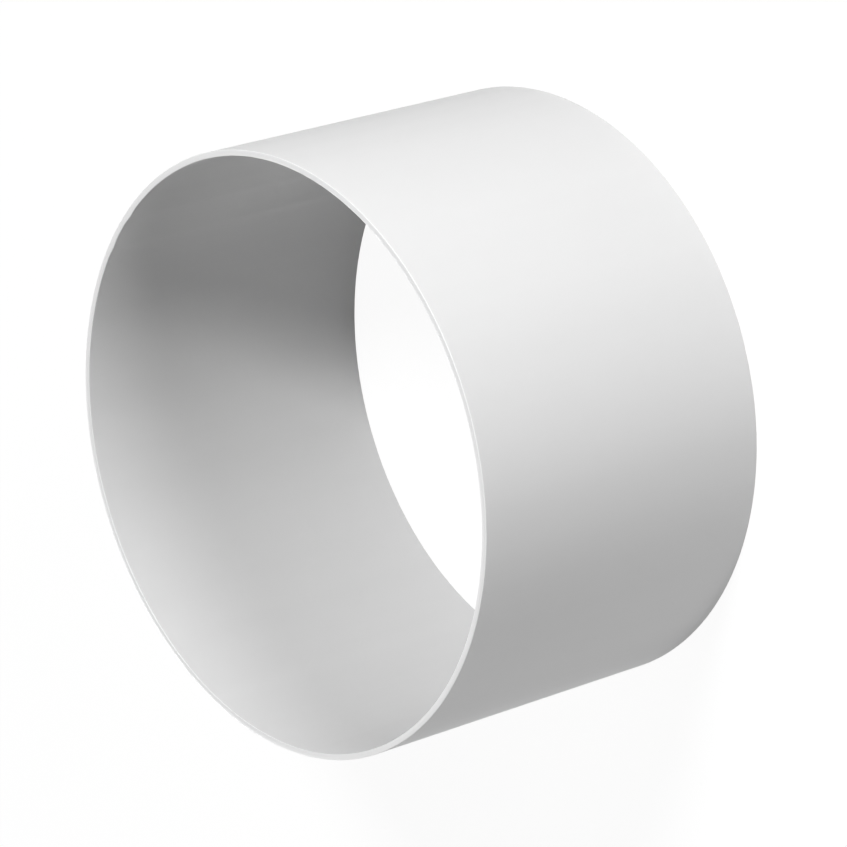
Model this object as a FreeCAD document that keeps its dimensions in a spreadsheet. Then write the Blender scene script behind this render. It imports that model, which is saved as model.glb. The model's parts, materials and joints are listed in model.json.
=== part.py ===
"""Round duct connector: a short, thin-walled plastic sleeve that joins two round ventilation ducts end to end.

The real one is a single piece: a tube extruded in plastic, sawn square to length and deburred at both ends.
Each duct is pushed in from one end until the two meet in the middle of the sleeve.
It stands on one end, with the origin at the middle of that end and +Z along the tube. Millimetres.
"""
import FreeCAD, Part
import os

import Sketcher

# Driving dimensions: name, value, what it measures
SIZES = [
    ("duct_diameter", 100.0, "outside diameter of the round duct that the sleeve takes"),
    ("duct_clearance", 0.4, "gap between the duct and the bore, all round"),
    ("wall", 1.0, "thickness of the extruded wall"),
    ("length", 60.0, "length that the tube is sawn to"),
    ("edge_break", 0.1, "width taken off each sawn edge by deburring"),
]

# Sizes that follow from the driving dimensions
BORE_DIAMETER = "Sizes.duct_diameter + 2 * Sizes.duct_clearance"
OUTSIDE_DIAMETER = BORE_DIAMETER + " + 2 * Sizes.wall"
# The two breaks on a sawn end leave at least half of the wall flat.
EDGE_BREAK = "min(Sizes.edge_break; Sizes.wall / 4)"

# Sketcher's own numbers for the sketch's origin point and for a circle's centre
SKETCH_ORIGIN = (-1, 1)
CENTRE = 3


def add_sizes(doc):
    """Puts the driving dimensions in a spreadsheet, one row each: name, value, meaning."""
    sheet = doc.addObject("Spreadsheet::Sheet", "Sizes")
    for row, (name, value, meaning) in enumerate(SIZES, start=1):
        sheet.set(f"A{row}", name)
        sheet.set(f"B{row}", str(value))
        sheet.set(f"C{row}", meaning)
        sheet.setAlias(f"B{row}", name)
    doc.recompute()
    return sheet


def origin_plane(body, role):
    """Returns the body's own origin plane with this role, such as XY_Plane."""
    return next(plane for plane in body.Origin.OriginFeatures if plane.Role == role)


def add_circle(sketch, name, first_radius, diameter):
    """Draws a circle about the sketch's origin, with a named diameter that follows an expression."""
    middle = FreeCAD.Vector(0, 0, 0)
    normal = FreeCAD.Vector(0, 0, 1)
    circle = sketch.addGeometry(Part.Circle(middle, normal, first_radius), False)
    sketch.addConstraint(Sketcher.Constraint("Coincident", circle, CENTRE, *SKETCH_ORIGIN))
    size = sketch.addConstraint(Sketcher.Constraint("Diameter", circle, 2 * first_radius))
    sketch.renameConstraint(size, name)
    sketch.setExpression(f"Constraints.{name}", diameter)


def draw_tube_section(body, sheet):
    """Draws the section that the extruder's die gives the tube: its bore and its outside."""
    sketch = body.newObject("Sketcher::SketchObject", "tube_section")
    sketch.AttachmentSupport = [(origin_plane(body, "XY_Plane"), "")]
    sketch.MapMode = "FlatFace"
    duct_radius = sheet.duct_diameter / 2
    add_circle(sketch, "bore_diameter", duct_radius, BORE_DIAMETER)
    add_circle(sketch, "outside_diameter", duct_radius + sheet.wall, OUTSIDE_DIAMETER)
    return sketch


def extrude_tube(body, section):
    """Extrudes the section up to the sawn length."""
    tube = body.newObject("PartDesign::Pad", "tube")
    tube.Profile = section
    tube.setExpression("Length", "Sizes.length")
    return tube


def deburr_ends(body, tube):
    """Breaks the sawn edges, inside and outside, at both ends."""
    sawn_edges = [
        f"Edge{number}"
        for number, edge in enumerate(tube.Shape.Edges, start=1)
        if isinstance(edge.Curve, Part.Circle)
    ]
    breaks = body.newObject("PartDesign::Chamfer", "edge_breaks")
    breaks.Base = (tube, sawn_edges)
    breaks.setExpression("Size", EDGE_BREAK)
    return breaks


def build_sleeve(doc, sheet):
    """Builds the sleeve in the order in which it is made: extruded, sawn to length, deburred."""
    body = doc.addObject("PartDesign::Body", "sleeve")
    body.Label = "sleeve"
    section = draw_tube_section(body, sheet)
    tube = extrude_tube(body, section)
    doc.recompute()
    body.Tip = deburr_ends(body, tube)
    doc.recompute()
    return body


def check(doc, body):
    """Stops if any feature failed to build, or if the body's shape isn't a sound solid."""
    failed = [item.Name for item in doc.Objects if {"Invalid", "Error"} & set(item.State)]
    if failed:
        raise RuntimeError(f"failed to build: {', '.join(failed)}")
    if body.Shape.isNull() or not body.Shape.isValid():
        raise RuntimeError(f"{body.Label} has no sound shape")


def main():
    """Builds the document and writes the sleeve as a STEP file."""
    doc = FreeCAD.newDocument("duct_connector")
    sheet = add_sizes(doc)
    sleeve = build_sleeve(doc, sheet)
    check(doc, sleeve)
    os.makedirs("parts", exist_ok=True)
    sleeve.Shape.exportStep(f"parts/{sleeve.Label}.step")


main()
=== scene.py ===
"""Dresses the round duct connector: a thin-walled white plastic sleeve, drawn as a tube and sawn to length.

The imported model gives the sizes. A Geometry Nodes tree sweeps the sleeve and gives it four finishes: the
drawn outside, the drawn bore, the sawn ends and the deburred edges. A pale floor, soft lamps and the camera
go round it.
"""
from __future__ import annotations

import json
import logging
import math
from dataclasses import dataclass
from enum import Enum

import bmesh
import bpy
import numpy as np
from mathutils import Matrix, Vector

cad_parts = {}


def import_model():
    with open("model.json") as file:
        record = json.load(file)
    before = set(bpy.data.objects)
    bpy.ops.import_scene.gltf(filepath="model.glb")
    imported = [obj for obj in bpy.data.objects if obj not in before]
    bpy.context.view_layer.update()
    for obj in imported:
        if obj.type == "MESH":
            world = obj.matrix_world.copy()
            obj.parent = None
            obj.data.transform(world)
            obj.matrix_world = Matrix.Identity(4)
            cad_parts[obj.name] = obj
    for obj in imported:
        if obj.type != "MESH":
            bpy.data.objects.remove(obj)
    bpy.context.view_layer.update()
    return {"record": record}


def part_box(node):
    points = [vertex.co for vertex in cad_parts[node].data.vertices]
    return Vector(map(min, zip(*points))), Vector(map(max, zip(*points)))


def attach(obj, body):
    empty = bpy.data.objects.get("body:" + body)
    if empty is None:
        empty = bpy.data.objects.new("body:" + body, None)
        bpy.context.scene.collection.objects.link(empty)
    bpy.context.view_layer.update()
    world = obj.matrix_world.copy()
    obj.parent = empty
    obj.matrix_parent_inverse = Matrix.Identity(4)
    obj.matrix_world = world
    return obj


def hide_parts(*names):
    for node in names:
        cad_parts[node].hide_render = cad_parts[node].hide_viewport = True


LOG = logging.getLogger("duct_connector")

MM = 0.001
MICRON = 0.000001

# The imported model's own names for its node and its body
NODE = "sleeve"
BODY = "root"
# Names of the piece that is made here and of its map for baking
PIECE = "drawn_sleeve"
BAKE_MAP = "OFBake"

# Where nearly all values of a noise texture lie
NOISE_SPAN = (0.3, 0.7)
UNIT_SPAN = (0.0, 1.0)
# Least upright part of a face's normal on a deburred edge and on a sawn end
EDGE_SLOPE = 0.05
END_SLOPE = 0.99

Grey = float
Span = tuple[object, object]
Links = dict[str | int, object]
Socket = bpy.types.NodeSocket


class Surface(Enum):
    """The surfaces that the sleeve shows, each with a finish of its own."""

    OUTSIDE = "drawn_outside"
    BORE = "drawn_bore"
    SAWN_END = "sawn_end"
    EDGE = "deburred_edge"


class Graph:
    """A node tree under construction."""

    def __init__(self, tree: bpy.types.NodeTree) -> None:
        """Empties the tree, so that every node in it is made here.

        Args:
            tree: The tree to build in.
        """
        self.tree = tree
        tree.nodes.clear()

    def feed(self, socket: Socket, value: object) -> None:
        """Links an input to an output socket, or sets the input's own value.

        Args:
            socket: The input.
            value: An output socket, or a plain value.
        """
        if isinstance(value, Socket):
            self.tree.links.new(value, socket)
        else:
            socket.default_value = value

    def add(self, kind: str, inputs: Links | None = None, **settings: object) -> bpy.types.Node:
        """Adds a node.

        Args:
            kind: The node's type name.
            inputs: Values or output sockets for its inputs, by the input's name or number.
            settings: Properties of the node itself.

        Returns:
            The new node.
        """
        node = self.tree.nodes.new(kind)
        for name, value in settings.items():
            setattr(node, name, value)
        for key, value in (inputs or {}).items():
            self.feed(node.inputs[key], value)
        return node

    def maths(self, operation: str, *values: object) -> Socket:
        """Returns the result of a Math node on numbers or sockets."""
        return self.add("ShaderNodeMath", dict(enumerate(values)), operation=operation).outputs[0]

    def vectors(self, operation: str, *values: object) -> Socket:
        """Returns the vector that a Vector Math node makes of vectors or sockets."""
        node = self.add("ShaderNodeVectorMath", dict(enumerate(values)), operation=operation)
        return node.outputs["Vector"]

    def measure(self, operation: str, *values: object) -> Socket:
        """Returns the number that a Vector Math node makes of vectors or sockets."""
        node = self.add("ShaderNodeVectorMath", dict(enumerate(values)), operation=operation)
        return node.outputs["Value"]

    def point(self, x: object = 0.0, y: object = 0.0, z: object = 0.0) -> Socket:
        """Returns a vector put together from its three parts."""
        return self.add("ShaderNodeCombineXYZ", {"X": x, "Y": y, "Z": z}).outputs[0]

    def noise(self, vector: object, scale: object, detail: float) -> Socket:
        """Returns the value of a Noise Texture, which lies about one half."""
        return self.add("ShaderNodeTexNoise", {"Vector": vector, "Scale": scale, "Detail": detail}).outputs[0]

    def ramp(self, value: object, span: Span, to: Span) -> Socket:
        """Returns a value moved from one span to another, and held inside it."""
        spans = {"From Min": span[0], "From Max": span[1], "To Min": to[0], "To Max": to[1]}
        return self.add("ShaderNodeMapRange", {"Value": value, **spans}).outputs[0]


class Paint(Graph):
    """A material under construction, with its shader and the piece's Object coordinates."""

    def __init__(self, name: str) -> None:
        """Starts the material.

        Args:
            name: The finish's name.
        """
        self.material = bpy.data.materials.new(name)
        self.material.use_nodes = True
        super().__init__(self.material.node_tree)
        self.shader = self.add("ShaderNodeBsdfPrincipled")
        self.add("ShaderNodeOutputMaterial", {"Surface": self.shader.outputs[0]})
        self.where = self.add("ShaderNodeTexCoord").outputs["Object"]

    def coat(self, tone: Socket, roughness: Socket, height: Socket, shine: float) -> bpy.types.Material:
        """Feeds the shader.

        Args:
            tone: Linear grey of the surface.
            roughness: Its roughness.
            height: Its fine relief, in metres.
            shine: Its specular level.

        Returns:
            The finished material.
        """
        grey = self.add("ShaderNodeCombineColor", {"Red": tone, "Green": tone, "Blue": tone})
        relief = self.add("ShaderNodeBump", {"Strength": 1.0, "Distance": 1.0, "Height": height})
        inputs = {
            "Base Color": grey.outputs[0],
            "Roughness": roughness,
            "Normal": relief.outputs[0],
            "Specular IOR Level": shine,
        }
        for name, value in inputs.items():
            self.feed(self.shader.inputs[name], value)
        return self.material


class Effect:
    """A shader effect that several finishes share, as a node group with named inputs and outputs."""

    def __init__(self, name: str, inputs: tuple[str, ...], outputs: tuple[str, ...]) -> None:
        """Makes the empty group with its sockets.

        Args:
            name: The group's name.
            inputs: Names of its number inputs. Every effect also has a Vector input.
            outputs: Names of its number outputs.
        """
        self.tree = bpy.data.node_groups.new(name, "ShaderNodeTree")
        self.tree.interface.new_socket("Vector", in_out="INPUT", socket_type="NodeSocketVector")
        for socket in inputs:
            self.tree.interface.new_socket(socket, in_out="INPUT", socket_type="NodeSocketFloat")
        for socket in outputs:
            self.tree.interface.new_socket(socket, in_out="OUTPUT", socket_type="NodeSocketFloat")
        self.graph = Graph(self.tree)
        self.given = self.graph.add("NodeGroupInput").outputs
        self.result = self.graph.add("NodeGroupOutput").inputs

    def put_out(self, name: str, value: Socket) -> None:
        """Links a value to one of the group's outputs."""
        self.graph.feed(self.result[name], value)

    def place(self, paint: Paint, inputs: Links) -> bpy.types.NodeOutputs:
        """Places the group in a material, on the piece's Object coordinates.

        Args:
            paint: The material.
            inputs: Values for the group's number inputs.

        Returns:
            The outputs of the placed group.
        """
        node = paint.add("ShaderNodeGroup", node_tree=self.tree)
        for key, value in {"Vector": paint.where, **inputs}.items():
            paint.feed(node.inputs[key], value)
        return node.outputs


class DieLines(Effect):
    """Fine lines and broad streaks that the die leaves along a drawn tube."""

    # Factor on the coordinate along the tube. A small one draws the grains out into lines.
    along: float = 0.012

    def __init__(self) -> None:
        """Builds noise that is drawn out along the tube, at two widths."""
        super().__init__("die_lines", ("Line Scale", "Streak Scale"), ("Lines", "Streaks"))
        drawn = self.graph.vectors("MULTIPLY", self.given["Vector"], (1.0, 1.0, self.along))
        self.put_out("Lines", self.graph.noise(drawn, self.given["Line Scale"], detail=3.0))
        streaks = self.graph.noise(drawn, self.given["Streak Scale"], detail=1.0)
        self.put_out("Streaks", self.graph.ramp(streaks, NOISE_SPAN, UNIT_SPAN))


class PlasticSkin(Effect):
    """Cloudy change of tone over a moulded or drawn skin, and its fine orange peel."""

    def __init__(self) -> None:
        """Builds a broad noise and a fine one."""
        super().__init__("plastic_skin", ("Cloud Scale", "Peel Scale"), ("Cloud", "Peel"))
        self.put_out("Cloud", self.graph.noise(self.given["Vector"], self.given["Cloud Scale"], detail=3.0))
        self.put_out("Peel", self.graph.noise(self.given["Vector"], self.given["Peel Scale"], detail=2.0))


class RubMarks(Effect):
    """Short, hair-fine rubs from handling, in scattered patches."""

    # How the lines slant, in radians, and the factors on the coordinates that draw them out
    turn: tuple[float, float, float] = (0.5, 0.35, 0.2)
    thin: tuple[float, float, float] = (1.0, 1.0, 0.06)
    # Values of the noise over which a hair comes in, and a patch of hairs
    hair_span: tuple[float, float] = (0.66, 0.74)
    patch_span: tuple[float, float] = (0.5, 0.65)

    def __init__(self) -> None:
        """Builds thin slanted lines and lets them show in patches."""
        super().__init__("rub_marks", ("Scale", "Patch Scale"), ("Mask",))
        where = self.given["Vector"]
        slanted = self.graph.add(
            "ShaderNodeMapping", {"Vector": where, "Rotation": self.turn, "Scale": self.thin}
        )
        lines = self.graph.noise(slanted.outputs[0], self.given["Scale"], detail=1.0)
        hairs = self.graph.ramp(lines, self.hair_span, UNIT_SPAN)
        patches = self.graph.noise(where, self.given["Patch Scale"], detail=2.0)
        shown = self.graph.ramp(patches, self.patch_span, UNIT_SPAN)
        self.put_out("Mask", self.graph.maths("MULTIPLY", hairs, shown))


@dataclass(frozen=True)
class WallFinish:
    """Satin white plastic as it leaves the die, on the outside or in the bore.

    Scales are in waves per metre, heights in metres, tones in linear grey.
    """

    surface: Surface
    tone: Grey
    cloud_tone: Grey
    streak_tone: Grey
    roughness: float
    shine: float
    line_height: float
    peel_height: float = 0.6 * MICRON
    line_scale: float = 900.0
    streak_scale: float = 150.0
    cloud_scale: float = 28.0
    peel_scale: float = 2600.0
    rub_scale: float = 2400.0
    rub_patch_scale: float = 45.0
    rub_tone: Grey = 0.006
    rub_roughness: float = 0.08
    gloss_change: float = 0.04

    def material(self, lines: DieLines, skin: PlasticSkin, rubs: RubMarks) -> bpy.types.Material:
        """Makes the finish.

        Args:
            lines: The die's lines.
            skin: The cloudy tone and orange peel.
            rubs: The marks of handling.

        Returns:
            The material.
        """
        paint = Paint(self.surface.value)
        drawn = lines.place(paint, {"Line Scale": self.line_scale, "Streak Scale": self.streak_scale})
        tint = skin.place(paint, {"Cloud Scale": self.cloud_scale, "Peel Scale": self.peel_scale})
        rub = rubs.place(paint, {"Scale": self.rub_scale, "Patch Scale": self.rub_patch_scale})["Mask"]

        cloud = paint.ramp(tint["Cloud"], NOISE_SPAN, about(self.tone, self.cloud_tone))
        streaked = paint.maths("SUBTRACT", cloud, paint.maths("MULTIPLY", drawn["Streaks"], self.streak_tone))
        tone = paint.maths("SUBTRACT", streaked, paint.maths("MULTIPLY", rub, self.rub_tone))
        gloss = paint.ramp(drawn["Lines"], NOISE_SPAN, about(self.roughness, self.gloss_change))
        roughness = paint.maths("MULTIPLY_ADD", rub, self.rub_roughness, gloss)
        ridges = paint.maths("MULTIPLY", drawn["Lines"], self.line_height)
        height = paint.maths("MULTIPLY_ADD", tint["Peel"], self.peel_height, ridges)
        return paint.coat(tone, roughness, height, self.shine)


@dataclass(frozen=True)
class SawnFinish:
    """A cut surface, sawn or deburred: matt, with fine marks left by the blade. Its pale tone is painted
    light, for the light that the ends and edges catch.

    Scales are in waves per metre, heights in metres, tones in linear grey.
    """

    surface: Surface
    tone: Grey
    cloud_tone: Grey
    roughness: float
    shine: float
    mark_height: float
    mark_scale: float = 2200.0
    mark_stretch: tuple[float, float, float] = (1.0, 0.03, 1.0)
    blade_angle: float = math.radians(35.0)
    cloud_scale: float = 160.0
    peel_scale: float = 5200.0
    gloss_change: float = 0.06

    def material(self, skin: PlasticSkin) -> bpy.types.Material:
        """Makes the finish.

        Args:
            skin: The cloudy tone and orange peel of the cut.

        Returns:
            The material.
        """
        paint = Paint(self.surface.value)
        cut_mottle = skin.place(paint, {"Cloud Scale": self.cloud_scale, "Peel Scale": self.peel_scale})
        turn = {"Rotation": (0.0, 0.0, self.blade_angle), "Scale": self.mark_stretch}
        across_blade = paint.add("ShaderNodeMapping", {"Vector": paint.where, **turn})
        marks = paint.noise(across_blade.outputs[0], self.mark_scale, detail=2.0)

        # The pale tone is painted light for the light that falls on the ends and edges, with a faint random
        # cloud round it.
        tone = paint.ramp(cut_mottle["Cloud"], NOISE_SPAN, about(self.tone, self.cloud_tone))
        roughness = paint.ramp(cut_mottle["Peel"], NOISE_SPAN, about(self.roughness, self.gloss_change))
        height = paint.maths("MULTIPLY", marks, self.mark_height)
        return paint.coat(tone, roughness, height, self.shine)


def about(middle: float, change: float) -> tuple[float, float]:
    """Returns the span from one change below a value to one above it."""
    return middle - change, middle + change


def make_finishes() -> dict[Surface, bpy.types.Material]:
    """Makes the material of each of the sleeve's surfaces.

    Returns:
        The materials by surface.
    """
    lines, skin, rubs = DieLines(), PlasticSkin(), RubMarks()
    outside = WallFinish(
        Surface.OUTSIDE,
        tone=0.82,
        cloud_tone=0.004,
        streak_tone=0.008,
        roughness=0.58,
        shine=0.08,
        line_height=1.5 * MICRON,
    )
    bore = WallFinish(
        Surface.BORE,
        tone=0.82,
        cloud_tone=0.006,
        streak_tone=0.014,
        roughness=0.45,
        shine=0.45,
        line_height=2.5 * MICRON,
    )
    # The sawn ends and deburred edges are painted paler than the walls: painted light for the light that they
    # catch.
    sawn = SawnFinish(
        Surface.SAWN_END,
        tone=0.96,
        cloud_tone=0.015,
        roughness=0.45,
        shine=0.6,
        mark_height=4.0 * MICRON,
    )
    edge = SawnFinish(
        Surface.EDGE,
        tone=0.96,
        cloud_tone=0.01,
        roughness=0.42,
        shine=0.6,
        mark_height=1.0 * MICRON,
    )
    return {
        Surface.OUTSIDE: outside.material(lines, skin, rubs),
        Surface.BORE: bore.material(lines, skin, rubs),
        Surface.SAWN_END: sawn.material(skin),
        Surface.EDGE: edge.material(skin),
    }


@dataclass
class DrawnSleeve:
    """The sleeve: a tube drawn in plastic, sawn to length and deburred. Lengths are in metres.

    Attributes:
        bore_radius: Radius of the bore.
        outer_radius: Radius of the outside.
        length: Length that the tube is sawn to.
        edge_break: Radius of the deburred edges.
        around: Faces round the tube.
        rows: Points along each wall.
        edge_steps: Steps round each deburred edge.
        leg: Stretch of each wall that is drawn with the end.
        relief: Depth of the die's lines.
        relief_scale: Waves per metre of the die's lines.
        relief_span: Values of the noise that the lines' depth runs over.
        mark_angle: Where the draw mark lies, in radians from +X.
        mark_gap: Distance between its two ridges.
        mark_width: Width of a ridge.
        mark_height: Height of a ridge.
        weld: Distance within which the seams are welded.
        map_margin: Free border of the map for baking, as a share of it.
    """

    bore_radius: float
    outer_radius: float
    length: float
    edge_break: float
    around: int = 720
    rows: int = 24
    edge_steps: int = 4
    leg: float = 0.5 * MM
    relief: float = 0.012 * MM
    relief_scale: float = 120.0
    relief_span: tuple[float, float] = (0.25, 0.75)
    mark_angle: float = math.radians(29.5)
    mark_gap: float = 8.0 * MM
    mark_width: float = 1.3 * MM
    mark_height: float = 0.15 * MM
    weld: float = 0.002 * MM
    map_margin: float = 0.004

    @classmethod
    def from_frame(cls, record: dict) -> DrawnSleeve:
        """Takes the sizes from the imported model.

        Args:
            record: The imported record, whose mounts give the two walls.

        Returns:
            A sleeve of those sizes.
        """
        mounts = {mount["name"]: mount["dims"] for mount in record["mounts"]}
        low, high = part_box(NODE)
        length = high.z - low.z
        socket = mounts["upper_socket"]
        return cls(
            bore_radius=socket["r_mm"] * MM,
            outer_radius=mounts["outer_wall"]["r_mm"] * MM,
            length=length,
            edge_break=(length - socket["length_mm"] * MM) / 2,
        )

    def build(self, finishes: dict[Surface, bpy.types.Material]) -> bpy.types.Object:
        """Makes the sleeve as a plain mesh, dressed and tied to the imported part.

        Args:
            finishes: The material of each surface.

        Returns:
            The finished object.
        """
        carrier = bpy.data.objects.new("sleeve_tree", bpy.data.meshes.new("sleeve_tree"))
        bpy.context.scene.collection.objects.link(carrier)
        modifier = carrier.modifiers.new("sweep", "NODES")
        modifier.node_group = self.sweep_tree(finishes)
        self.set_sizes(modifier)
        evaluated = carrier.evaluated_get(bpy.context.evaluated_depsgraph_get())
        mesh = bpy.data.meshes.new_from_object(evaluated)
        bpy.data.objects.remove(carrier)
        mesh.name = PIECE
        self.close(mesh)
        self.unroll(mesh)
        piece = bpy.data.objects.new(PIECE, mesh)
        bpy.context.scene.collection.objects.link(piece)
        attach(piece, BODY)
        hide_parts(NODE)
        return piece

    def inputs(self) -> dict[str, float | int]:
        """Returns the sizes that the sweep's tree takes, by name."""
        return {
            "Bore Radius": self.bore_radius,
            "Wall": self.outer_radius - self.bore_radius,
            "Length": self.length,
            "Edge Break": self.edge_break,
            "Leg": self.leg,
            "Around": self.around,
            "Rows": self.rows,
            "Edge Steps": self.edge_steps,
            "Relief": self.relief,
            "Relief Scale": self.relief_scale,
            "Mark Angle": self.mark_angle,
            "Mark Gap": self.mark_gap,
            "Mark Width": self.mark_width,
            "Mark Height": self.mark_height,
            "Weld": self.weld,
        }

    def set_sizes(self, modifier: bpy.types.Modifier) -> None:
        """Sets the modifier's inputs by the identifiers of their sockets.

        Args:
            modifier: The modifier that holds the sweep's tree.
        """
        sizes = self.inputs()
        for item in modifier.node_group.interface.items_tree:
            if item.in_out == "INPUT" and item.name in sizes:
                modifier[item.identifier] = sizes[item.name]

    def sweep_tree(self, finishes: dict[Surface, bpy.types.Material]) -> bpy.types.NodeTree:
        """Builds the tree that sweeps the wall's section round the axis and dresses it.

        Args:
            finishes: The material of each surface.

        Returns:
            The Geometry Nodes tree.
        """
        tree = bpy.data.node_groups.new(PIECE, "GeometryNodeTree")
        tree.interface.new_socket("Geometry", in_out="OUTPUT", socket_type="NodeSocketGeometry")
        for name, value in self.inputs().items():
            kind = "NodeSocketInt" if isinstance(value, int) else "NodeSocketFloat"
            tree.interface.new_socket(name, in_out="INPUT", socket_type=kind)
        graph = Graph(tree)
        given = graph.add("NodeGroupInput").outputs
        result = graph.add("NodeGroupOutput").inputs

        section = self.section(graph, given)
        swept = self.sweep(graph, given, section)
        drawn = self.draw_relief(graph, given, swept)
        whole = graph.add("GeometryNodeRealizeInstances", {0: drawn}).outputs[0]
        graph.feed(result[0], self.dress(graph, given, whole, finishes))
        return tree

    @staticmethod
    def section(graph: Graph, given: bpy.types.NodeOutputs) -> Socket:
        """Draws the wall's section about its middle: X out from the axis, Y along it.

        One end with its outer wall is drawn, and the other end and the bore are the same turned half round.

        Args:
            graph: The tree's graph.
            given: The tree's inputs.

        Returns:
            The closed section as curves.
        """
        out = graph.maths("MULTIPLY", given["Wall"], 0.5)
        inward = graph.maths("MULTIPLY", given["Wall"], -0.5)
        end = graph.maths("MULTIPLY", given["Length"], 0.5)
        foot = graph.maths("SUBTRACT", end, given["Leg"])
        low = graph.maths("MULTIPLY", foot, -1.0)

        corners = graph.add("GeometryNodeIndexSwitch", data_type="VECTOR")
        places = ((inward, foot), (inward, end), (out, end), (out, foot))
        while len(corners.index_switch_items) < len(places):
            corners.index_switch_items.new()
        graph.feed(corners.inputs["Index"], graph.add("GeometryNodeInputIndex").outputs[0])
        for number, (x, y) in enumerate(places, start=1):
            graph.feed(corners.inputs[number], graph.point(x, y))
        line = graph.add("GeometryNodeMeshLine", {"Count": len(places)})
        bent = graph.add("GeometryNodeSetPosition", {0: line.outputs[0], "Position": corners.outputs[0]})
        cap = graph.add("GeometryNodeMeshToCurve", {0: bent.outputs[0]})
        rounded = graph.add("GeometryNodeFilletCurve", {0: cap.outputs[0]}, mode="POLY")
        graph.feed(rounded.inputs["Count"], given["Edge Steps"])
        graph.feed(rounded.inputs["Radius"], given["Edge Break"])

        wall_ends = {"Start": graph.point(out, foot), "End": graph.point(out, low)}
        wall = graph.add("GeometryNodeCurvePrimitiveLine", wall_ends)
        rows = graph.add("GeometryNodeResampleCurve", {0: wall.outputs[0], "Count": given["Rows"]})

        half = graph.add("GeometryNodeJoinGeometry")
        graph.feed(half.inputs[0], rounded.outputs[0])
        graph.feed(half.inputs[0], rows.outputs[0])
        other = graph.add("GeometryNodeTransform", {0: half.outputs[0], "Rotation": (0.0, 0.0, math.pi)})
        whole = graph.add("GeometryNodeJoinGeometry")
        graph.feed(whole.inputs[0], half.outputs[0])
        graph.feed(whole.inputs[0], other.outputs[0])
        return whole.outputs[0]

    @staticmethod
    def mid_wall(graph: Graph, given: bpy.types.NodeOutputs) -> Socket:
        """Returns the radius in the middle of the wall."""
        return graph.maths("MULTIPLY_ADD", given["Wall"], 0.5, given["Bore Radius"])

    def sweep(self, graph: Graph, given: bpy.types.NodeOutputs, section: Socket) -> Socket:
        """Sweeps the section round the axis, stands the tube on its end and welds its seams.

        Args:
            graph: The tree's graph.
            given: The tree's inputs.
            section: The wall's section.

        Returns:
            The closed tube.
        """
        circle = {"Resolution": given["Around"], "Radius": self.mid_wall(graph, given)}
        ring = graph.add("GeometryNodeCurvePrimitiveCircle", circle)
        tube = graph.add("GeometryNodeCurveToMesh", {"Curve": ring.outputs[0], "Profile Curve": section})
        lift = graph.point(z=graph.maths("MULTIPLY", given["Length"], 0.5))
        stood = graph.add("GeometryNodeTransform", {0: tube.outputs[0], "Translation": lift})
        welded = graph.add("GeometryNodeMergeByDistance", {0: stood.outputs[0], "Distance": given["Weld"]})
        return welded.outputs[0]

    @staticmethod
    def across_axis(graph: Graph) -> Socket:
        """Returns each point's place across the axis."""
        return graph.vectors("MULTIPLY", graph.add("GeometryNodeInputPosition").outputs[0], (1.0, 1.0, 0.0))

    def draw_relief(self, graph: Graph, given: bpy.types.NodeOutputs, tube: Socket) -> Socket:
        """Sinks the wall by a hair along the die's lines, from end to end, and adds the draw mark.

        Args:
            graph: The tree's graph.
            given: The tree's inputs.
            tube: The swept tube.

        Returns:
            The tube with its relief.
        """
        flat = self.across_axis(graph)
        lines = graph.noise(flat, given["Relief Scale"], detail=2.0)
        depth = graph.maths("MULTIPLY", graph.ramp(lines, self.relief_span, UNIT_SPAN), given["Relief"])
        inward = graph.maths("ADD", depth, self.draw_mark(graph, given, flat))
        outward = {0: graph.vectors("NORMALIZE", flat), "Scale": graph.maths("MULTIPLY", inward, -1.0)}
        sunk = graph.add("ShaderNodeVectorMath", outward, operation="SCALE").outputs["Vector"]
        placed = graph.add("GeometryNodeSetPosition", {0: tube, "Offset": sunk})
        return graph.add("GeometryNodeSetShadeSmooth", {0: placed.outputs[0]}).outputs[0]

    def draw_mark(self, graph: Graph, given: bpy.types.NodeOutputs, flat: Socket) -> Socket:
        """Raises the pair of faint ridges that a worn spot in the die leaves along the bore.

        Args:
            graph: The tree's graph.
            given: The tree's inputs.
            flat: Each point's place across the axis.

        Returns:
            How far each point stands in towards the axis.
        """
        place = graph.add("ShaderNodeSeparateXYZ", {0: flat}).outputs
        angle = graph.maths("ARCTAN2", place["Y"], place["X"])
        turned = graph.maths("SUBTRACT", angle, given["Mark Angle"])
        aside = graph.maths("ABSOLUTE", graph.maths("MULTIPLY", turned, given["Bore Radius"]))
        off_ridge = graph.maths("SUBTRACT", aside, graph.maths("MULTIPLY", given["Mark Gap"], 0.5))
        spread = graph.maths("POWER", graph.maths("DIVIDE", off_ridge, given["Mark Width"]), 2.0)
        ridge = graph.maths("EXPONENT", graph.maths("MULTIPLY", spread, -1.0))
        in_bore = graph.maths("LESS_THAN", graph.measure("LENGTH", flat), self.mid_wall(graph, given))
        return graph.maths("MULTIPLY", graph.maths("MULTIPLY", ridge, in_bore), given["Mark Height"])

    def dress(
        self,
        graph: Graph,
        given: bpy.types.NodeOutputs,
        tube: Socket,
        finishes: dict[Surface, bpy.types.Material],
    ) -> Socket:
        """Gives each face its finish by the side of the wall that it lies on and by its slope.

        Args:
            graph: The tree's graph.
            given: The tree's inputs.
            tube: The whole tube.
            finishes: The material of each surface.

        Returns:
            The dressed tube.
        """
        radius = graph.measure("LENGTH", self.across_axis(graph))
        middle = self.mid_wall(graph, given)
        normal = graph.add("GeometryNodeInputNormal").outputs[0]
        slope = graph.maths("ABSOLUTE", graph.add("ShaderNodeSeparateXYZ", {0: normal}).outputs["Z"])
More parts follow.
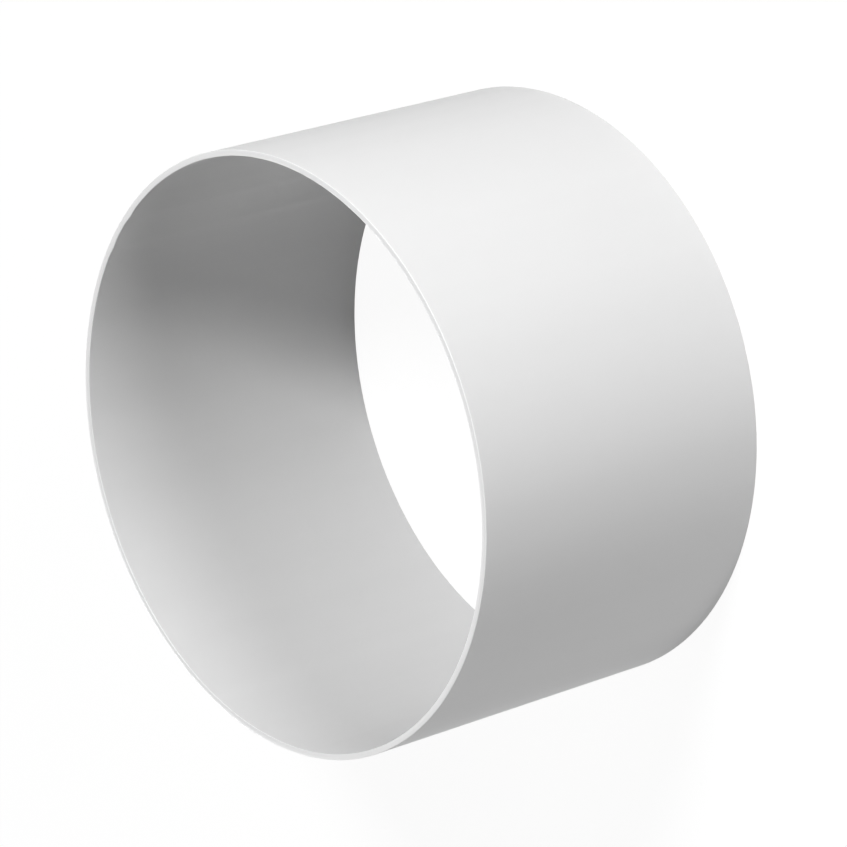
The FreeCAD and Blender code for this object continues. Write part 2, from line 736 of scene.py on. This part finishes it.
        # Each finish covers those before it, so the edges and then the ends come last.
        chosen = {
            Surface.OUTSIDE: graph.maths("GREATER_THAN", radius, middle),
            Surface.BORE: graph.maths("LESS_THAN", radius, middle),
            Surface.EDGE: graph.maths("GREATER_THAN", slope, EDGE_SLOPE),
            Surface.SAWN_END: graph.maths("GREATER_THAN", slope, END_SLOPE),
        }
        for surface, selection in chosen.items():
            coat = graph.add("GeometryNodeSetMaterial", {0: tube, "Selection": selection})
            coat.inputs["Material"].default_value = finishes[surface]
            tube = coat.outputs[0]
        return tube

    @staticmethod
    def close(mesh: bpy.types.Mesh) -> None:
        """Turns all faces outwards and checks that the wall is closed.

        Args:
            mesh: The sleeve's mesh.

        Raises:
            ValueError: If an edge of the wall is open.
        """
        shell = bmesh.new()
        shell.from_mesh(mesh)
        bmesh.ops.recalc_face_normals(shell, faces=shell.faces)
        if shell.calc_volume(signed=True) < 0:
            bmesh.ops.reverse_faces(shell, faces=shell.faces)
        open_edges = sum(not edge.is_manifold for edge in shell.edges)
        shell.to_mesh(mesh)
        shell.free()
        if open_edges:
            raise ValueError(f"the sleeve's wall has {open_edges} open edges")

    def unroll(self, mesh: bpy.types.Mesh) -> None:
        """Gives the sleeve a map for baking: the whole section unrolled, one half turn above the other.

        Args:
            mesh: The sleeve's mesh.
        """
        points = read_mesh(mesh.vertices, "co", 3)
        corners = read_mesh(mesh.loops, "vertex_index", 1)[:, 0].astype(int)
        sides = read_mesh(mesh.polygons, "loop_total", 1)[:, 0].astype(int)
        middles = np.repeat(read_mesh(mesh.polygons, "center", 3), sides, axis=0)
        placed = points[corners]

        turn = np.arctan2(middles[:, 1], middles[:, 0]) % (2 * np.pi)
        second_half, turn_in_half = np.divmod(turn, np.pi)
        from_middle = np.arctan2(placed[:, 1], placed[:, 0]) - turn
        from_middle = (from_middle + np.pi) % (2 * np.pi) - np.pi
        around = (turn_in_half + from_middle) / np.pi
        along = self.along_section(placed, middles)

        # Each half turn takes half of the map's height.
        strip = 0.5
        u = self.map_margin + around * (1.0 - 2 * self.map_margin)
        v = self.map_margin + second_half * strip + along * (strip - 2 * self.map_margin)
        layer = mesh.uv_layers.new(name=BAKE_MAP)
        layer.uv.foreach_set("vector", np.stack([u, v], axis=1).astype(np.float32).ravel())

    def along_section(self, points: np.ndarray, middles: np.ndarray) -> np.ndarray:
        """Returns how far round the section points lie: up the outside, over the end, down the bore and back.

        Args:
            points: The corners of the faces.
            middles: The middle of each corner's face, which says on which stretch it lies.

        Returns:
            A share of the way round for each corner.
        """
        wall = self.outer_radius - self.bore_radius
        radius = np.clip(np.hypot(points[:, 0], points[:, 1]), self.bore_radius, self.outer_radius)
        height = points[:, 2]
        outside = np.hypot(middles[:, 0], middles[:, 1]) > self.bore_radius + wall / 2
        upper = middles[:, 2] > self.length / 2
        foot = middles[:, 2] < self.edge_break

        from_outside = self.outer_radius - radius
        from_bore = radius - self.bore_radius
        up_outside = height + from_outside * upper
        down_bore = 2 * self.length - height + np.where(upper, from_outside, wall + from_bore)
        back_under = 2 * self.length + wall + from_bore + height
        way = np.where(foot, back_under, up_outside)
        way = np.where(outside, way, down_bore)
        return way / (2 * self.length + 2 * wall + self.edge_break)


def read_mesh(items: bpy.types.bpy_prop_collection, name: str, width: int) -> np.ndarray:
    """Reads one property of all of a mesh's items.

    Args:
        items: The mesh's vertices, loops or faces.
        name: The property.
        width: How many numbers it has.

    Returns:
        A row for each item.
    """
    values = np.empty(len(items) * width)
    items.foreach_get(name, values)
    return values.reshape(-1, width)


def direction(azimuth: float, elevation: float) -> Vector:
    """Finds a direction from its angles.

    Args:
        azimuth: Degrees round the axis. 0 is towards -Y and 90 towards +X.
        elevation: Degrees up from the floor.

    Returns:
        The unit vector.
    """
    turn, rise = math.radians(azimuth), math.radians(elevation)
    return Vector((math.sin(turn) * math.cos(rise), -math.cos(turn) * math.cos(rise), math.sin(rise)))


@dataclass(frozen=True)
class Lamp:
    """A round soft lamp that faces the sleeve's middle.

    Angles in degrees, lengths in metres, power in watts.
    """

    name: str
    azimuth: float
    elevation: float
    width: float
    power: float
    distance: float = 1.2

    def hang(self, aim: Vector) -> None:
        """Hangs the lamp.

        Args:
            aim: The point that it faces.
        """
        light = bpy.data.lights.new(self.name, "AREA")
        light.shape = "DISK"
        light.size = self.width
        light.energy = self.power
        lamp = bpy.data.objects.new(self.name, light)
        away = direction(self.azimuth, self.elevation)
        lamp.location = aim + away * self.distance
        lamp.rotation_mode = "QUATERNION"
        lamp.rotation_quaternion = (-away).to_track_quat("-Z", "Y")
        lamp.visible_camera = False
        bpy.context.scene.collection.objects.link(lamp)


@dataclass(frozen=True)
class Camera:
    """The photograph's view. It is rolled, because the sleeve stands on its end and shows there on its side.

    Angles in degrees, distance and aim in metres, lens and sensor in millimetres.
    """

    elevation: float = 38.667
    roll: float = -105.845
    distance: float = 0.8563
    aim: tuple[float, float, float] = (-1.2 * MM, -0.8 * MM, 29.0 * MM)
    lens: float = 216.4
    sensor: float = 36.0

    def place(self) -> None:
        """Places the camera and makes it the scene's own."""
        data = bpy.data.cameras.new("camera")
        data.lens = self.lens
        data.sensor_width = self.sensor
        camera = bpy.data.objects.new("camera", data)
        back = direction(0.0, self.elevation)
        level = (-back).to_track_quat("-Z", "Y").to_matrix().to_4x4()
        spot = Matrix.Translation(Vector(self.aim) + back * self.distance)
        camera.matrix_world = spot @ level @ Matrix.Rotation(math.radians(self.roll), 4, "Z")
        bpy.context.scene.collection.objects.link(camera)
        bpy.context.scene.camera = camera


@dataclass
class Studio:
    """A pale floor under soft lamps, white to the camera.

    Attributes:
        floor_radius: Metres from the middle to the floor's edge.
        floor_sides: Sides of the round floor.
        floor_tone: Grey that the floor throws back at the sleeve.
        floor_glow: Level that the floor shows to the camera without any light.
        floor_shade: Grey that the lamps add to it, and that the shadow takes away.
        sky: Level of the light from all round.
        lamps: The lamps. The low one stays under the rim, so that it doesn't shine into the bore.
    """

    floor_radius: float = 4.0
    floor_sides: int = 96
    floor_tone: Grey = 0.50
    floor_glow: float = 0.93
    floor_shade: Grey = 0.10
    sky: float = 0.01
    lamps: tuple[Lamp, ...] = (
        Lamp("key_lamp", azimuth=48.0, elevation=47.5, width=0.25, power=10.6),
        Lamp("side_lamp", azimuth=15.0, elevation=6.0, width=0.35, power=5.4),
        Lamp("back_lamp", azimuth=190.0, elevation=5.0, width=0.15, power=8.8),
        Lamp("low_lamp", azimuth=249.0, elevation=0.0, width=0.06, power=3.8),
        Lamp("high_lamp", azimuth=233.0, elevation=42.0, width=0.4, power=1.9),
    )

    def build(self, aim: Vector) -> None:
        """Lays the floor, lights the world and hangs the lamps.

        Args:
            aim: The point that the lamps face.
        """
        self.lay_floor()
        self.light_world()
        for lamp in self.lamps:
            lamp.hang(aim)

    def lay_floor(self) -> None:
        """Lays a round floor that shows nearly white and keeps a soft shadow."""
        shape = bmesh.new()
        bmesh.ops.create_circle(shape, cap_ends=True, segments=self.floor_sides, radius=self.floor_radius)
        mesh = bpy.data.meshes.new("floor")
        shape.to_mesh(mesh)
        shape.free()
        mesh.materials.append(self.floor_material())
        floor = bpy.data.objects.new("floor", mesh)
        bpy.context.scene.collection.objects.link(floor)

    def floor_material(self) -> bpy.types.Material:
        """Makes the floor's finish: grey to the sleeve, and nearly white to the camera.

        Returns:
            The material.
        """
        material = bpy.data.materials.new("pale_floor")
        material.use_nodes = True
        graph = Graph(material.node_tree)
        lit = graph.add("ShaderNodeBsdfDiffuse", {"Color": grey_colour(self.floor_tone)})
        shade = graph.add("ShaderNodeBsdfDiffuse", {"Color": grey_colour(self.floor_shade)})
        glow = graph.add("ShaderNodeEmission", {"Strength": self.floor_glow})
        shown = graph.add("ShaderNodeAddShader", {0: shade.outputs[0], 1: glow.outputs[0]})
        graph.add("ShaderNodeOutputMaterial", {"Surface": self.mix_by_ray(graph, lit, shown)})
        return material

    def light_world(self) -> None:
        """Makes the world white to the camera and a faint light to everything else."""
        world = bpy.data.worlds.new("studio")
        world.use_nodes = True
        graph = Graph(world.node_tree)
        white = grey_colour(1.0)
        light = graph.add("ShaderNodeBackground", {"Color": white, "Strength": self.sky})
        shown = graph.add("ShaderNodeBackground", {"Color": white, "Strength": 1.0})
        graph.add("ShaderNodeOutputWorld", {"Surface": self.mix_by_ray(graph, light, shown)})
        bpy.context.scene.world = world

    @staticmethod
    def mix_by_ray(graph: Graph, lighting: bpy.types.Node, shown: bpy.types.Node) -> Socket:
        """Mixes two shaders by the kind of ray that meets them.

        Args:
            graph: The tree's graph.
            lighting: The shader for the light that reaches the sleeve.
            shown: The shader for rays from the camera, also off gloss or through glass.

        Returns:
            The mixed shader.
        """
        path = graph.add("ShaderNodeLightPath").outputs
        mirrored = graph.maths("MAXIMUM", path["Is Glossy Ray"], path["Is Transmission Ray"])
        seen = graph.maths("MAXIMUM", path["Is Camera Ray"], mirrored)
        shaders = {1: lighting.outputs[0], 2: shown.outputs[0]}
        return graph.add("ShaderNodeMixShader", {0: seen, **shaders}).outputs[0]


def grey_colour(tone: Grey) -> tuple[float, float, float, float]:
    """Returns a grey as a full colour."""
    return tone, tone, tone, 1.0


def main() -> None:
    """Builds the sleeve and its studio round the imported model."""
    logging.basicConfig(level=logging.INFO, format="%(name)s: %(message)s")
    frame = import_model()
    bpy.context.scene.view_settings.view_transform = "Standard"
    sleeve = DrawnSleeve.from_frame(frame["record"])
    piece = sleeve.build(make_finishes())
    LOG.info("%s has %d faces", piece.name, len(piece.data.polygons))
    Studio().build(Vector((0.0, 0.0, sleeve.length / 2)))
    Camera().place()


if __name__ == "__main__":
    main()
